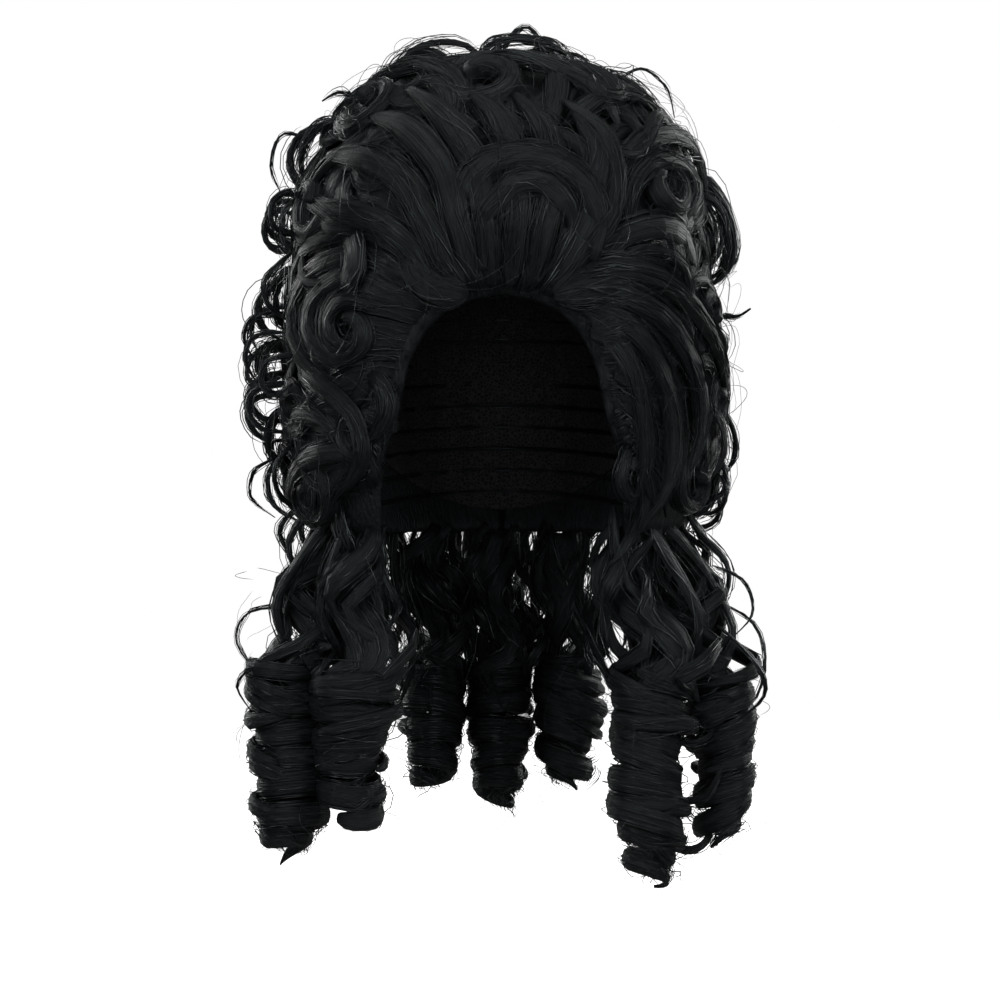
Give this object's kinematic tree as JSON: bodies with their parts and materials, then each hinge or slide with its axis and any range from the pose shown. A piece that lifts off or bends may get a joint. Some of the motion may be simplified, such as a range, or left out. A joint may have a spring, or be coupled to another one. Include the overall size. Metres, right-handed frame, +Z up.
{
  "type": "beehive wig",
  "caption": "Tall black beehive wig: curls piled over a teased mass on a wefted cap, open at the face, with long wound ringlets hanging before and behind the shoulders.",
  "frame": {"origin": "inside top of the cap, where the crown of the head touches it", "axes": "+Z up along the wearer's head, the face looks along -Y, +X is on the right as seen from the front"},
  "size_m": [0.2513, 0.2398, 0.4311],
  "materials": {
    "hair": "black synthetic hair with a soft sheen",
    "cap": "matt black net with sewn wefts"
  },
  "bodies": {
    "root": {"cheek_curl_left": "hair", "cheek_curl_right": "hair", "crown_back_curl_1": "hair", "crown_back_curl_2": "hair", "crown_back_curl_3": "hair", "crown_curl_front": "hair", "crown_curl_left": "hair", "crown_curl_right": "hair", "crown_swirl_left": "hair", "crown_swirl_right": "hair", "front_sweep_left": "hair", "front_sweep_right_1": "hair", "front_sweep_right_2": "hair", "front_sweep_right_3": "hair", "hair_mass": "hair", "middle_back_curl_1": "hair", "middle_back_curl_2": "hair", "middle_back_curl_3": "hair", "middle_back_curl_4": "hair", "middle_back_curl_5": "hair", "nape_curl_1": "hair", "nape_curl_2": "hair", "nape_curl_3": "hair", "nape_curl_4": "hair", "nape_curl_5": "hair", "pompadour_swirl": "hair", "ringlet_back_left": "hair", "ringlet_back_middle": "hair", "ringlet_back_right": "hair", "ringlet_left_inner": "hair", "ringlet_left_outer": "hair", "ringlet_right_inner": "hair", "ringlet_right_outer": "hair", "side_curl_left_1": "hair", "side_curl_left_2": "hair", "side_curl_left_3": "hair", "side_curl_right_1": "hair", "side_curl_right_2": "hair", "side_loop_left_1": "hair", "side_loop_left_2": "hair", "side_loop_left_3": "hair", "side_loop_left_4": "hair", "side_loop_left_5": "hair", "side_loop_right_1": "hair", "side_loop_right_2": "hair", "side_loop_right_3": "hair", "temple_curl_left": "hair", "temple_curl_right": "hair", "temple_roll_left": "hair", "top_curl_back": "hair", "top_loop_centre": "hair", "top_loop_left": "hair", "top_loop_right": "hair", "upper_back_curl_1": "hair", "upper_back_curl_2": "hair", "upper_back_curl_3": "hair", "upper_back_curl_4": "hair", "upper_back_curl_5": "hair", "wig_cap": "cap"}
  },
  "joints": []
}
